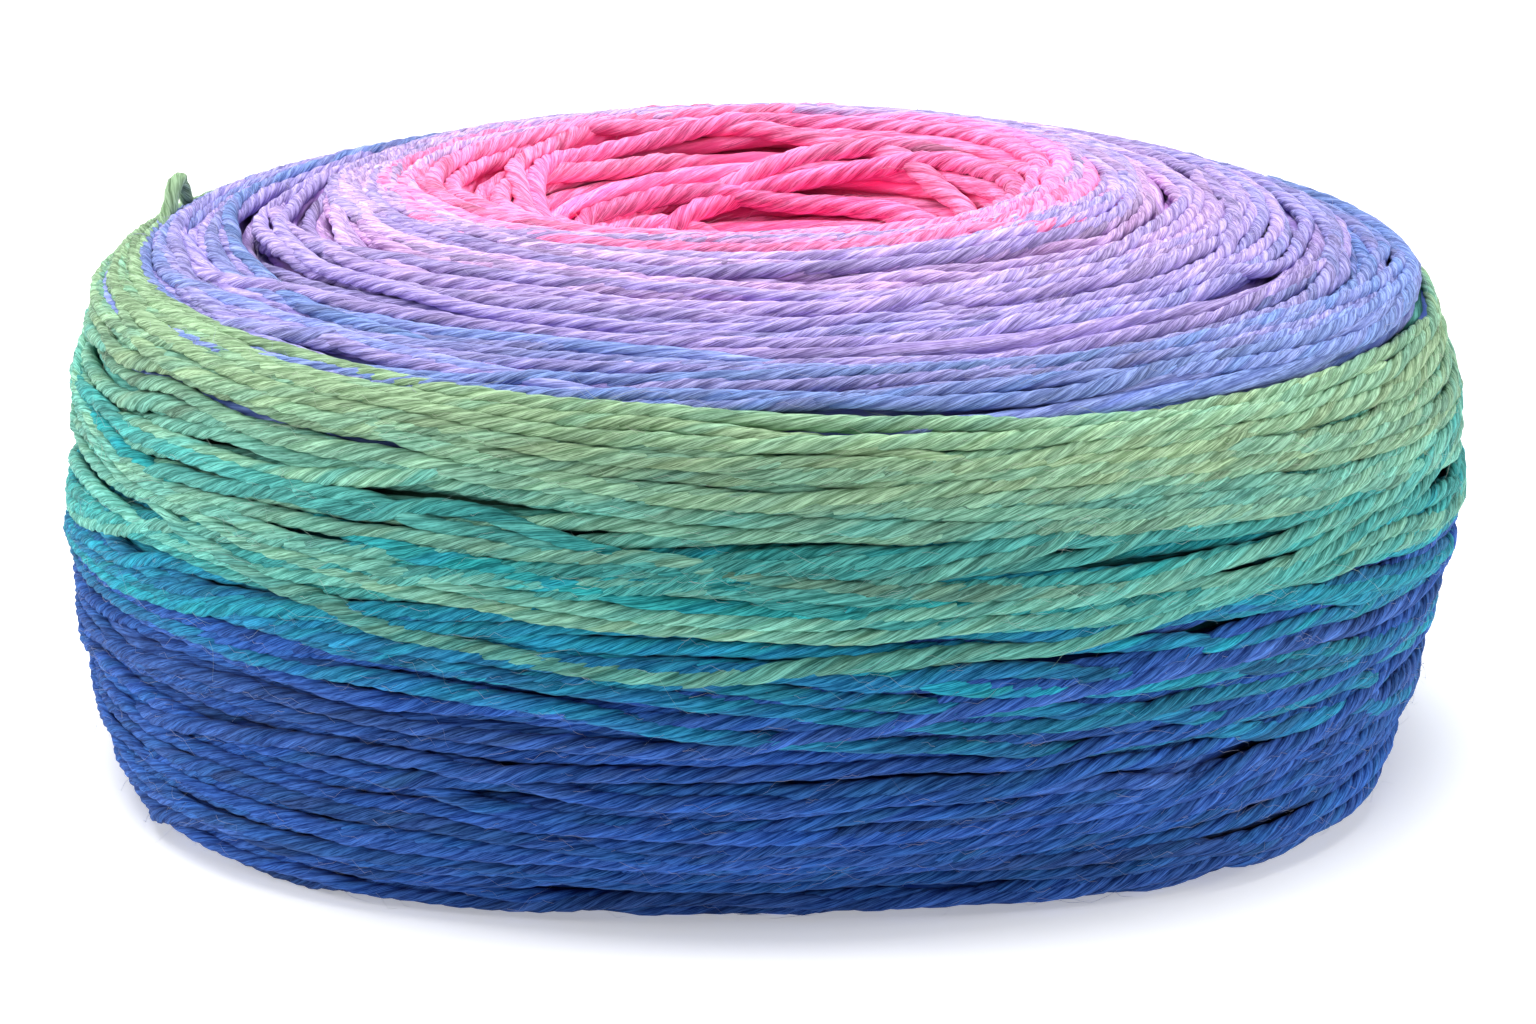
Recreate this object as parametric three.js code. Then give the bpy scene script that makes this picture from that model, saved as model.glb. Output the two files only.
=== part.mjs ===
// A yarn cake: one soft plied yarn, wound into a low round drum with a hollow at its centre.
// Millimetres, +Z up. The origin is on the surface that the cake lies on, at the centre of its foot.
// The front is -Y. The outline is a closed loop that is turned about Z, and the turns of yarn are
// raised on it as ridges that sway from side to side and dive under one another.
import * as THREE from 'three';
import { mergeVertices } from 'three/addons/utils/BufferGeometryUtils.js';

// Driving dimensions of the wound form.
const CAKE_RADIUS = 70;
const CAKE_HEIGHT = 58;
const CREST_RADIUS = 28;
const WAIST_RADIUS = 10;
const FOOT_RADIUS = 62.4;
const FOOT_INNER_RADIUS = 24;
const BELLY_HEIGHT = 29;

// The outline, anticlockwise from the foot's inner edge: radius from the axis, and height.
const OUTLINE = [
  { at: 'foot inner edge', radius: FOOT_INNER_RADIUS, height: 0 },
  { at: 'foot outer edge', radius: FOOT_RADIUS, height: 0 },
  { at: 'heel', radius: CAKE_RADIUS - 4.4, height: 2.6 },
  { at: 'lower side', radius: CAKE_RADIUS - 2.5, height: 12 },
  { at: 'belly', radius: CAKE_RADIUS - 0.9, height: BELLY_HEIGHT },
  { at: 'upper side', radius: CAKE_RADIUS - 2.1, height: 41 },
  { at: 'rim', radius: CAKE_RADIUS - 4, height: 48 },
  { at: 'shoulder', radius: CAKE_RADIUS - 8.4, height: 50.6 },
  { at: 'dome', radius: 44, height: CAKE_HEIGHT - 2.7 },
  { at: 'crest', radius: CREST_RADIUS, height: CAKE_HEIGHT - 1 },
  { at: 'lip', radius: CREST_RADIUS - 6.5, height: CAKE_HEIGHT - 5.2 },
  { at: 'funnel', radius: CREST_RADIUS - 11.5, height: 43 },
  { at: 'throat', radius: WAIST_RADIUS + 2, height: 29 },
  { at: 'waist', radius: WAIST_RADIUS, height: 16 },
  { at: 'hole foot', radius: WAIST_RADIUS + 1.2, height: 5 },
  { at: 'hole edge', radius: WAIST_RADIUS + 5, height: 0.8 },
];

// The bands of turns on the outline: how many turns, how high a turn stands over the groove
// beside it, how far a turn sways, and how far all the band's turns lean across the cake together.
// On the foot the turns are pressed flat against the surface, with grooves between them.
const BANDS = [
  { from: 'foot inner edge', to: 'foot outer edge', turns: 6, ridge: 1.2, sway: 0.9, lean: 0 },
  { from: 'foot outer edge', to: 'rim', turns: 11, ridge: 1.3, sway: 1.1, lean: 1.6 },
  { from: 'rim', to: 'crest', turns: 8, ridge: 1.2, sway: 1.2, lean: 0.8 },
  { from: 'crest', to: 'foot inner edge', turns: 9, ridge: 1.4, sway: 1.2, lean: 1.0 },
];

const COLUMNS = 48;
const CREST_WIDTH = 0.46;   // of a turn's pitch
const GROOVE_DEPTH = 0.4;   // of a turn's ridge
const GOLDEN_ANGLE = Math.PI * (3 - Math.sqrt(5));
const LOOP_STEPS = 600;

// The waves that a turn makes as it goes round the cake: how many round the cake, each wave's share
// of the whole, the angle it starts at, and how far it moves on from one turn to the next.
const SWAY_WAVES = [
  { count: 1, share: 0.7, start: 0, shift: GOLDEN_ANGLE },
  { count: 2, share: 0.3, start: 0, shift: -1.7 * GOLDEN_ANGLE },
];
const LEAN_WAVES = [
  { count: 1, share: 1, start: 0.4, shift: 0 },
  { count: 2, share: 0.4, start: 1.2, shift: 0 },
];
const STAND_WAVES = [{ count: 2, share: 0.3, start: 0, shift: 2.3 * GOLDEN_ANGLE }];
const STAND_LEVEL = 0.7;   // of a turn's ridge

// How far the wound form is from a true circle, seen from above, outside the hollow, and how much
// further its side is drawn in over and under the belly on the right than on the left.
const OVAL = 0.55;
const OVAL_ANGLE = 0.6;
const OVAL_FROM_RADIUS = 20;
const LOPSIDED = 2.2;

// One turn lies loose on the rim and stands over it for a short way, at the left and back.
const LOOSE_TURN = { from: 'rim', angle: 2.9, width: 0.2, lift: 3.2 };

const YARN_COLOUR = 0x4f8fb0;

const full = 2 * Math.PI;
const loop = new THREE.CatmullRomCurve3(
  OUTLINE.map((row) => new THREE.Vector3(row.radius, 0, row.height)), true, 'centripetal');
loop.arcLengthDivisions = LOOP_STEPS;

// The place of a named row on the outline, as a share of the loop's length.
function shareOf(name) {
  const index = OUTLINE.findIndex((row) => row.at === name);
  const lengths = loop.getLengths();
  return lengths[Math.round(LOOP_STEPS * index / OUTLINE.length)] / lengths[LOOP_STEPS];
}

// Angle from one direction to another, the short way round.
function turnBetween(a, b) {
  return Math.atan2(Math.sin(a - b), Math.cos(a - b));
}

// The sum of some waves for turn number n at an angle round the cake.
function sumOf(waves, n, angle) {
  return waves.reduce((sum, w) => sum + w.share * Math.sin(w.count * angle + w.start + n * w.shift), 0);
}

// The rings of points that make a band: a groove, then the two edges of a turn's crest for each turn.
// The last band ends where the loop closes, at the foot's inner edge.
function ringsOf(band, firstTurn) {
  const start = shareOf(band.from);
  const end = shareOf(band.to) || 1;
  const pitch = (end - start) / band.turns;
  const rings = [];
  for (let turn = 0; turn < band.turns; turn++) {
    const n = firstTurn + turn;
    const middle = start + (turn + 0.5) * pitch;
    const loose = turn === 0 && band.from === LOOSE_TURN.from;
    rings.push({ band, n, share: middle - pitch / 2, groove: true });
    rings.push({ band, n, share: middle - pitch * CREST_WIDTH / 2, loose });
    rings.push({ band, n, share: middle + pitch * CREST_WIDTH / 2, loose });
  }
  return rings;
}

function makeRings() {
  const rings = [];
  let turns = 0;
  for (const band of BANDS) {
    rings.push(...ringsOf(band, turns));
    turns += band.turns;
  }
  return rings;
}

// How far a ring sways along the outline at an angle: a groove goes between the turns beside it.
function swayOf(ring, angle) {
  const own = sumOf(SWAY_WAVES, ring.n, angle);
  return ring.groove ? (own + sumOf(SWAY_WAVES, ring.n - 1, angle)) / 2 : own;
}

// The place of one point of a ring, with its turn's sway and height. No point is under the foot.
function pointOf(ring, angle) {
  const { ridge, sway, lean } = ring.band;
  const aside = sway * swayOf(ring, angle) + lean * sumOf(LEAN_WAVES, 0, angle);
  const share = (ring.share + aside / loop.getLength() + 1) % 1;
  const stand = STAND_LEVEL + sumOf(STAND_WAVES, ring.n, angle);
  const lift = ridge * (ring.groove ? -GROOVE_DEPTH : stand);
  const at = loop.getPointAt(share);
  const along = loop.getTangentAt(share);
  let radius = at.x + along.z * lift;
  let height = Math.max(at.z, 0) - along.x * lift;
  const outside = THREE.MathUtils.smoothstep(radius, OVAL_FROM_RADIUS, CAKE_RADIUS);
  radius += OVAL * Math.cos(2 * (angle - OVAL_ANGLE)) * outside;
  const fromBelly = (height - BELLY_HEIGHT) / BELLY_HEIGHT;
  radius -= LOPSIDED * (1 + Math.cos(angle)) / 2 * fromBelly ** 2 * outside;
  if (ring.loose) {
    const away = turnBetween(angle, LOOSE_TURN.angle) / LOOSE_TURN.width;
    height += LOOSE_TURN.lift * Math.exp(-(away ** 2));
  }
  return { radius, height: Math.max(height, 0) };
}

// Turns the outline about the axis, and then raises the turns of yarn in its points.
function makeCake() {
  const rings = makeRings();
  const outline = rings.map((ring) => loop.getPointAt(ring.share)).map((p) => new THREE.Vector2(p.x, p.z));
  outline.push(outline[0].clone());
  const geometry = new THREE.LatheGeometry(outline, COLUMNS);
  const place = geometry.attributes.position;
  for (let column = 0; column <= COLUMNS; column++) {
    const angle = full * (column % COLUMNS) / COLUMNS;
    for (let row = 0; row < outline.length; row++) {
      const { radius, height } = pointOf(rings[row % rings.length], angle);
      const index = column * outline.length + row;
      place.setXYZ(index, radius * Math.cos(angle), radius * Math.sin(angle), height);
    }
  }
  geometry.deleteAttribute('normal');
  geometry.deleteAttribute('uv');
  const closed = mergeVertices(geometry, 1e-4);
  closed.computeVertexNormals();
  return closed;
}

const yarn = new THREE.MeshStandardMaterial({ color: YARN_COLOUR, roughness: 0.9, metalness: 0 });
const cake = new THREE.Mesh(makeCake(), yarn);
cake.name = 'wound_yarn';

const part = new THREE.Group();
part.add(cake);
export default part;
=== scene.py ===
# %% [markdown]
# A yarn cake is one long length of plied yarn, wound round a spindle that is then pulled out.
# What makes it look real is the yarn itself, so this lesson doesn't paint stripes on a drum. It winds
# the yarn turn by turn: each turn lies on the turns before it, and it bridges the gaps as a taut yarn
# does. Then every turn becomes a rope of four plies, and loose fibres are set on its surface.
#
# The packed model gives the drum's true size. It is loaded first, and its box is kept.

# %% Load the frame
import math

import bpy
import numpy as np
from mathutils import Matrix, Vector


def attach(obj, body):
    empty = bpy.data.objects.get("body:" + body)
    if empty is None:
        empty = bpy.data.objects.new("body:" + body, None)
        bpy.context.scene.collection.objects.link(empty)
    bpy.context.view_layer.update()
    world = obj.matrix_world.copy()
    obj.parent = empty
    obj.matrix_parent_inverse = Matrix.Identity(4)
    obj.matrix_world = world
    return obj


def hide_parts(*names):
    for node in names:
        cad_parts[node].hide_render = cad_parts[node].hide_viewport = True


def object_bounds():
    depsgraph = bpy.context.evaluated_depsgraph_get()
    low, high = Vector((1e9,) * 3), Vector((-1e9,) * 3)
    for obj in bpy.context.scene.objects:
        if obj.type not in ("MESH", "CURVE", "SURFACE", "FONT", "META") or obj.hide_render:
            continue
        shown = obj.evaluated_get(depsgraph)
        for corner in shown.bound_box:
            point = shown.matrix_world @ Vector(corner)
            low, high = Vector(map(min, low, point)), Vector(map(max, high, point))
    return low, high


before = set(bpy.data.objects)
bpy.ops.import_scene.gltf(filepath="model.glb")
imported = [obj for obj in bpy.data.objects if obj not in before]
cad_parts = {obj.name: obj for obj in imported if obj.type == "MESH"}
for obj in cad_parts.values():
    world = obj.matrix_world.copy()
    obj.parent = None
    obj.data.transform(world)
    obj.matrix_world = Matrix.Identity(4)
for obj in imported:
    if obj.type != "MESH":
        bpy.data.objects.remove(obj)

CAD_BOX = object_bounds()
MM = 0.001
print("packed solids:", [tuple(round(v / MM, 1) for v in corner) for corner in CAD_BOX], "mm")

# %% [markdown]
# The photo is taken with a long lens, a little above the cake's rim. The height of the far rim over
# the near one gives the angle, and the cake's width in the frame gives the focal length. A long lens
# from half a metre keeps the far side nearly as large as the near side.

# %% Camera
CAMERA_RISE = math.radians(15.3)
CAMERA_DISTANCE = 0.5
CAMERA_LENS = 114.5
SENSOR_WIDTH = 36
CAMERA_AIM = Vector((0, 0, 0.0227))


def make_camera():
    data = bpy.data.cameras.new("camera")
    data.lens = CAMERA_LENS
    data.sensor_width = SENSOR_WIDTH
    camera = bpy.data.objects.new("camera", data)
    back = Vector((0, -math.cos(CAMERA_RISE), math.sin(CAMERA_RISE)))
    camera.location = CAMERA_AIM + CAMERA_DISTANCE * back
    camera.rotation_euler = (math.radians(90) - CAMERA_RISE, 0, 0)
    bpy.context.collection.objects.link(camera)
    bpy.context.scene.camera = camera
    return camera


print("camera at", [round(v, 3) for v in make_camera().location])

# %% [markdown]
# The cake stands in a light tent. A white floor that glows a little stands for the tent's cloth. One
# large soft light hangs above the cake and a little behind it, one stands far off at each side, and a
# weak one is over the front. A sun lamp would be simpler, but its shadows are hard, and the photo's are
# soft. The front gets the least light, as in the photo, so the turns there keep their deep colours, and
# the edges at left and right turn pale.

# %% Floor and lights
FLOOR_HALF = 9.0
FLOOR_DROP = 0.00002
WHITE = (1, 1, 1, 1)
FLOOR_SURFACE = {"Base Color": (0.85, 0.85, 0.86, 1), "Roughness": 0.9, "Emission Color": WHITE,
                 "Emission Strength": 0.36}
TENT_STRENGTH = 0.17
SOFTBOXES = [
    {"name": "top_light", "place": (-0.1, 0.12, 1.0), "size": 1.0, "watts": 15.0},
    {"name": "left_light", "place": (-1.7, 0.17, 0.46), "size": 1.02, "watts": 21.4},
    {"name": "right_light", "place": (1.7, 0.17, 0.46), "size": 1.02, "watts": 21.7},
    {"name": "front_light", "place": (-0.2, -0.75, 1.0), "size": 0.5, "watts": 1.6},
]


def set_sockets(node, values):
    for name, value in values.items():
        node.inputs[name].default_value = value


def make_floor():
    mesh = bpy.data.meshes.new("floor")
    sides = [(-1, -1), (1, -1), (1, 1), (-1, 1)]
    corners = [(x * FLOOR_HALF, y * FLOOR_HALF, -FLOOR_DROP) for x, y in sides]
    mesh.from_pydata(corners, [], [(0, 1, 2, 3)])
    floor = bpy.data.objects.new("floor", mesh)
    bpy.context.collection.objects.link(floor)
    paint = bpy.data.materials.new("white_floor")
    paint.use_nodes = True
    set_sockets(paint.node_tree.nodes["Principled BSDF"], FLOOR_SURFACE)
    mesh.materials.append(paint)


def make_softbox(name, place, size, watts):
    data = bpy.data.lights.new(name, "AREA")
    data.shape = "DISK"
    data.size = size
    data.energy = watts
    light = bpy.data.objects.new(name, data)
    light.location = place
    light.rotation_euler = (CAMERA_AIM - Vector(place)).to_track_quat("-Z", "Y").to_euler()
    bpy.context.collection.objects.link(light)


def light_the_tent():
    world = bpy.data.worlds.new("tent")
    world.use_nodes = True
    set_sockets(world.node_tree.nodes["Background"], {"Color": WHITE, "Strength": TENT_STRENGTH})
    bpy.context.scene.world = world
    for row in SOFTBOXES:
        make_softbox(**row)


make_floor()
light_the_tent()
bpy.context.scene.view_settings.view_transform = "Standard"
print("lights:", ", ".join(row["name"] for row in SOFTBOXES))

# %% [markdown]
# The wound form is a closed outline turned about the axis: a flat foot, a bellied side, a rim, a low
# dome, and a funnel that narrows to the hole where the spindle was. The outline could be drawn by hand
# with curve handles, but a smooth curve through a few named places is easier to check against a ruler.
# It is the same outline as the solid's. Places on it are told by the distance along it.

# %% Outline of the wound form
CAKE_RADIUS = 70
CAKE_HEIGHT = 58
CREST_RADIUS = 28
WAIST_RADIUS = 10
FOOT_RADIUS = 62.4
FOOT_INNER_RADIUS = 24
BELLY_HEIGHT = 29
OUTLINE = [
    ("foot inner edge", FOOT_INNER_RADIUS, 0),
    ("foot outer edge", FOOT_RADIUS, 0),
    ("heel", CAKE_RADIUS - 4.4, 2.6),
    ("lower side", CAKE_RADIUS - 2.5, 12),
    ("belly", CAKE_RADIUS - 0.9, BELLY_HEIGHT),
    ("upper side", CAKE_RADIUS - 2.1, 41),
    ("rim", CAKE_RADIUS - 4, 48),
    ("shoulder", CAKE_RADIUS - 8.4, 50.6),
    ("dome", 44, CAKE_HEIGHT - 2.7),
    ("crest", CREST_RADIUS, CAKE_HEIGHT - 1),
    ("lip", CREST_RADIUS - 6.5, CAKE_HEIGHT - 5.2),
    ("funnel", CREST_RADIUS - 11.5, 43),
    ("throat", WAIST_RADIUS + 2, 29),
    ("waist", WAIST_RADIUS, 16),
    ("hole foot", WAIST_RADIUS + 1.2, 5),
    ("hole edge", WAIST_RADIUS + 5, 0.8),
]
CURVE_STEPS = 50


def curve_through(points):
    """A closed smooth curve through the points, with no loops where two of them are close together."""
    count = len(points)
    t = np.linspace(0, 1, CURVE_STEPS, endpoint=False)[:, None]
    parts = []
    for i in range(count):
        a, b, c, d = (points[(i + k) % count] for k in (-1, 0, 1, 2))
        ab, bc, cd = (np.linalg.norm(q - p) ** 0.5 for p, q in ((a, b), (b, c), (c, d)))
        out_of_b = ((b - a) / ab - (c - a) / (ab + bc) + (c - b) / bc) * bc
        into_c = ((c - b) / bc - (d - b) / (bc + cd) + (d - c) / cd) * bc
        parts.append((2 * t**3 - 3 * t**2 + 1) * b + (t**3 - 2 * t**2 + t) * out_of_b
                     + (3 * t**2 - 2 * t**3) * c + (t**3 - t**2) * into_c)
    return np.concatenate(parts)


LOOP = curve_through(np.array([row[1:] for row in OUTLINE], float))
LOOP_ALONG = np.concatenate([[0], np.cumsum(np.linalg.norm(np.roll(LOOP, -1, 0) - LOOP, axis=1))])
LOOP_LENGTH = LOOP_ALONG[-1]
PLACE = {row[0]: LOOP_ALONG[i * CURVE_STEPS] for i, row in enumerate(OUTLINE)}
LOOP_AHEAD = np.roll(LOOP, -1, 0) - np.roll(LOOP, 1, 0)
LOOP_OUT = np.stack([LOOP_AHEAD[:, 1], -LOOP_AHEAD[:, 0]], axis=1)
LOOP_OUT /= np.linalg.norm(LOOP_OUT, axis=1)[:, None]


def on_loop(values, along):
    """Values that are known at the loop's own points, read at any distances along it."""
    return np.interp(along, LOOP_ALONG[:-1], values, period=LOOP_LENGTH)


print("outline", round(LOOP_LENGTH, 1), "mm long; rim at", round(PLACE["rim"], 1), "mm")

# %% [markdown]
# The oval and the foot. A hand-wound cake isn't a true circle. This one is a little oval, and its right
# side is drawn in over and under the belly. Low down it leans a little to the left. Its foot is squarer
# than its belly: drawn in at the front and the back, and fuller between them. Cosines of once, twice
# and four times the angle say all of that. The turns of the foot are pressed flat where the cake lies.
# One function turns an angle, a place on the outline and a height over it into a point, so everything
# that is set on the cake later lies on the same form.

# %% Points on the form
OVAL = 0.55
OVAL_ANGLE = 0.6
OVAL_FROM_RADIUS = 20
LOPSIDED = 3.4
FOOT_OVAL = 2.0
FOOT_SQUARE = 2.9
FOOT_FADE = 15
SIDE_LEAN = 0.9
SIDE_LEAN_HEIGHT = 16
SIDE_LEAN_REACH = 8
FOOT_GAP = 0.03


def smooth_step(low, high, value):
    share = np.clip((value - low) / (high - low), 0, 1)
    return share * share * (3 - 2 * share)


def point_on_cake(angle, along, height, lowest=FOOT_GAP):
    """Points at a height over the outline, in millimetres, and none of them under the lowest."""
    radius = on_loop(LOOP[:, 0], along) + height * on_loop(LOOP_OUT[:, 0], along)
    level = np.maximum(on_loop(LOOP[:, 1], along), 0) + height * on_loop(LOOP_OUT[:, 1], along)
    drawn_in = LOPSIDED * (1 + np.cos(angle)) / 2 * ((level - BELLY_HEIGHT) / BELLY_HEIGHT) ** 2
    leaned = SIDE_LEAN * np.cos(angle) * np.exp(-((level - SIDE_LEAN_HEIGHT) / SIDE_LEAN_REACH) ** 2)
    squared = FOOT_OVAL * np.cos(2 * angle) - FOOT_SQUARE * np.cos(4 * angle)
    out_of_round = OVAL * np.cos(2 * (angle - OVAL_ANGLE)) - drawn_in - leaned
    out_of_round = out_of_round + squared * (1 - smooth_step(0, FOOT_FADE, level))
    radius = radius + out_of_round * smooth_step(OVAL_FROM_RADIUS, CAKE_RADIUS, radius)
    return np.stack([radius * np.cos(angle), radius * np.sin(angle), np.maximum(level, lowest)], axis=-1)


def outward(angle, along):
    """The direction that points straight out of the cake."""
    flat, up = on_loop(LOOP_OUT[:, 0], along), on_loop(LOOP_OUT[:, 1], along)
    ways = np.stack([flat * np.cos(angle), flat * np.sin(angle), up], axis=-1)
    return ways / np.linalg.norm(ways, axis=-1, keepdims=True)


print("front of the belly at", point_on_cake(np.array(-math.pi / 2), np.array(PLACE["belly"]), 0).round(1))

# %% [markdown]
# The yarn is dyed in one slow change of colour along its whole length. A spinner would call it a
# gradient. The first turns wound are deep pink, and the last are sage green. Because later turns lie
# over earlier ones, each colour overlaps the one before it. The dye is a short table of stops, and a
# place in the dye is a number from 0 to 1.

# %% Dye
DYE = [
    ("deep pink", 0.00, (1.0, 0.06, 0.36)),
    ("pink", 0.12, (1.0, 0.30, 0.60)),
    ("light pink", 0.22, (0.97, 0.28, 0.52)),
    ("orchid", 0.29, (0.64, 0.34, 0.63)),
    ("lilac", 0.36, (0.60, 0.42, 0.72)),
    ("violet", 0.45, (0.40, 0.33, 0.65)),
    ("periwinkle", 0.54, (0.18, 0.27, 0.56)),
    ("cornflower", 0.61, (0.08, 0.19, 0.55)),
    ("royal blue", 0.68, (0.013, 0.077, 0.33)),
    ("azure", 0.77, (0.006, 0.15, 0.34)),
    ("turquoise", 0.81, (0.005, 0.26, 0.37)),
    ("teal", 0.86, (0.011, 0.29, 0.30)),
    ("sea green", 0.93, (0.145, 0.41, 0.335)),
    ("sage green", 1.00, (0.28, 0.42, 0.25)),
]
DYE_AT = {name: place for name, place, colour in DYE}


def dyed(place):
    """The yarn's colour, in linear light, at places in the dye."""
    stops = [stop for name, stop, colour in DYE]
    channels = zip(*(colour for name, stop, colour in DYE))
    return np.stack([np.interp(place, stops, channel) for channel in channels], axis=-1)


print(len(DYE), "dye stops, from", DYE[0][0], "to", DYE[-1][0])

# %% [markdown]
# The winding plan. Each row is a run of yarn: where on the outline it starts and ends, how many turns
# it takes, how far its turns tilt at first and at last, where their highest side is and how far that
# side moves on, how much they ripple, how thick the yarn is, and which part of the dye it holds. A
# place is a name on the outline and some millimetres past it, and the sides are in degrees.
# A first layer closes the form, with its turns side by side. Then come looser turns, and at last a few
# that cross the others at a slant. The order of the rows is the order of winding, so a later run lies
# on the earlier ones.

# %% Winding plan
YARN = 0.86
UNDER_YARN = 0.98
SOFT_YARN = 1.12
PLAN_COLUMNS = ("piece", "start", "end", "turns", "tilt", "high_side", "moves_on", "ripple", "radius",
                "dye")
PLAN = [
    ("foot_turns", ("hole edge", -4), ("foot outer edge", 0), 20, (0.6, 0.6), 40, 90, 0.3,
     UNDER_YARN, ("pink", "royal blue")),
    ("royal_first", ("foot outer edge", -1), ("belly", -4), 17, (0.8, 0.8), 60, 200, 0.4,
     UNDER_YARN, ("royal blue", "royal blue")),
    ("mid_first", ("belly", -4), ("upper side", 5), 12, (0.8, 0.8), 200, 120, 0.4,
     UNDER_YARN, ("turquoise", "sea green")),
    ("rim_first", ("upper side", 4), ("shoulder", 4), 9, (0.9, 0.9), 100, 160, 0.4,
     UNDER_YARN, ("periwinkle", "violet")),
    ("lilac_first", ("shoulder", 3), ("crest", -4), 15, (0.9, 0.9), 20, 300, 0.5,
     UNDER_YARN, ("violet", "orchid")),
    ("pink_first", ("crest", -8), ("hole foot", 2), 28, (1.2, 1.2), 0, 700, 0.6,
     SOFT_YARN, ("light pink", "deep pink")),
    ("pink_turns", ("crest", -9.5), ("crest", -4), 4, (1.5, 1.5), 310, 60, 1.0,
     SOFT_YARN, ("light pink", "pink")),
    ("pink_turns", ("crest", -4), ("throat", 3), 17, (7.0, 8.0), 100, 2250, 2.0,
     SOFT_YARN, ("light pink", "deep pink")),
    ("lilac_turns", ("crest", -8), ("shoulder", 3), 17, (2.5, 2.0), 305, 560, 1.1,
     YARN, ("orchid", "periwinkle")),
    ("periwinkle_turns", ("shoulder", 5), ("rim", 0.5), 10, (2.0, 1.6), 300, 400, 0.8,
     YARN, ("violet", "periwinkle")),
    ("royal_turns", ("foot outer edge", -1), ("belly", -3), 22, (0.8, 2.4), 200, 500, 0.7,
     YARN, ("royal blue", "royal blue")),
    ("turquoise_turns", ("lower side", 4), ("belly", -5), 9, (8.5, 8.0), 214, 60, 0.7,
     YARN, ("azure", "turquoise")),
    ("teal_turns", ("belly", -3), ("belly", 5), 9, (7.5, 6.0), 245, 90, 0.7,
     YARN, ("turquoise", "sea green")),
    ("sage_turns", ("belly", 5), ("rim", 1.2), 14, (5.0, 3.5), 255, -105, 0.8,
     YARN, ("sea green", "sage green")),
    ("lilac_turns", ("crest", -8), ("crest", -13), 3, (6.0, 4.0), 315, 20, 0.9,
     YARN, ("lilac", "violet")),
    ("lilac_turns", ("dome", 5), ("dome", -7), 6, (3.6, 3.6), 60, 500, 1.0,
     YARN, ("lilac", "violet")),
    ("royal_turns", ("lower side", 8), ("lower side", -7), 6, (4.0, 4.0), 300, 240, 0.8,
     YARN, ("royal blue", "royal blue")),
    ("teal_turns", ("belly", 7), ("belly", 2), 4, (5.0, 5.0), 150, 80, 0.8,
     YARN, ("teal", "sea green")),
    ("sage_turns", ("upper side", -3), ("upper side", -0.5), 3, (9.5, 9.0), 92, 14, 0.6,
     YARN, ("sea green", "sea green")),
    ("lilac_turns", ("crest", -5.5), ("crest", -11), 3, (3.0, 2.4), 90, -30, 0.9,
     YARN, ("lilac", "violet")),
    ("sage_turns", ("upper side", 5), ("rim", 1.5), 2, (5.0, 4.2), 150, 10, 0.6,
     YARN, ("sage green", "sage green")),
]
UNDER_PIECES = ("foot_turns", "royal_first", "mid_first", "rim_first", "lilac_first", "pink_first")
RUNS = [dict(zip(PLAN_COLUMNS, row)) for row in PLAN]
print(len(RUNS), "runs,", sum(run["turns"] for run in RUNS), "turns")

# %% [markdown]
# Laying the yarn. A rope simulation could do it, but it would take hours for seventy metres of yarn. So
# a map of heights is kept instead: for each angle and each place on the outline, how far the yarn that
# is already there stands out. It starts as bare ground some way under the outline, and every turn that
# is laid raises it. Two helpers come with it: a smooth random line, because no hand winds evenly, and
# a blur, which is what tension does to a line.

# %% Map of heights
TURN_STEPS = 720
SEAM_ANGLE = math.pi / 2
CELL = 0.25
CELLS = int(round(LOOP_LENGTH / CELL))
FIRST_DEPTH = 2.7
SEED = 7

random = np.random.default_rng(SEED)
stand = np.full((TURN_STEPS, CELLS), -float(FIRST_DEPTH))


def wobble(steps, every):
    """A smooth random line about 0, with a new random value every so many steps."""
    knots = random.normal(size=int(steps / every) + 3)
    place = np.arange(steps) / every
    knot = place.astype(int)
    share = place - knot
    share = share * share * (3 - 2 * share)
    return knots[knot] * (1 - share) + knots[knot + 1] * share


def blurred(line, spread):
    """The line smoothed over a number of steps, with its ends held."""
    reach = int(3 * spread) + 1
    weights = np.exp(-0.5 * (np.arange(-reach, reach + 1) / spread) ** 2)
    return np.convolve(np.pad(line, reach, mode="edge"), weights / weights.sum(), mode="valid")


print("map of heights:", stand.shape[0], "angles by", stand.shape[1], "places")

# %% [markdown]
# How a yarn rests. It touches the highest thing under it, but it is soft, so it gives a little towards
# the rest. A round yarn on a slope also slips to the lower side, and so it finds the groove between
# two turns below. A physics engine would roll it there. A few small steps towards the lower side are
# enough, and they give the same cake each time.

# %% Rest and slip
PRESS = 0.68
SINK_IN = 0.3
SLIP_REACH = 0.5
SLIP_GAIN = 0.45
SLIP_MOST = 0.8
SLIP_ROUNDS = 3


def under(step, along, radius):
    """The cells under a yarn at each step round the cake, and how its round belly stands over them."""
    reach = int(radius / CELL)
    cell = np.round(along / CELL).astype(int)[:, None] + np.arange(-reach, reach + 1)
    aside = (cell * CELL - along[:, None]) / radius
    belly = PRESS * radius * np.sqrt(np.clip(1 - aside**2, 0, 1))
    return (step[:, None] % TURN_STEPS, cell % CELLS), belly


def resting_height(step, along, radius):
    """A soft yarn rests on the highest thing under it, but it gives a little towards the rest."""
    cells, belly = under(step, along, radius)
    touch = stand[cells] + belly
    return touch.max(axis=1) * (1 - SINK_IN) + touch.mean(axis=1) * SINK_IN


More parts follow.
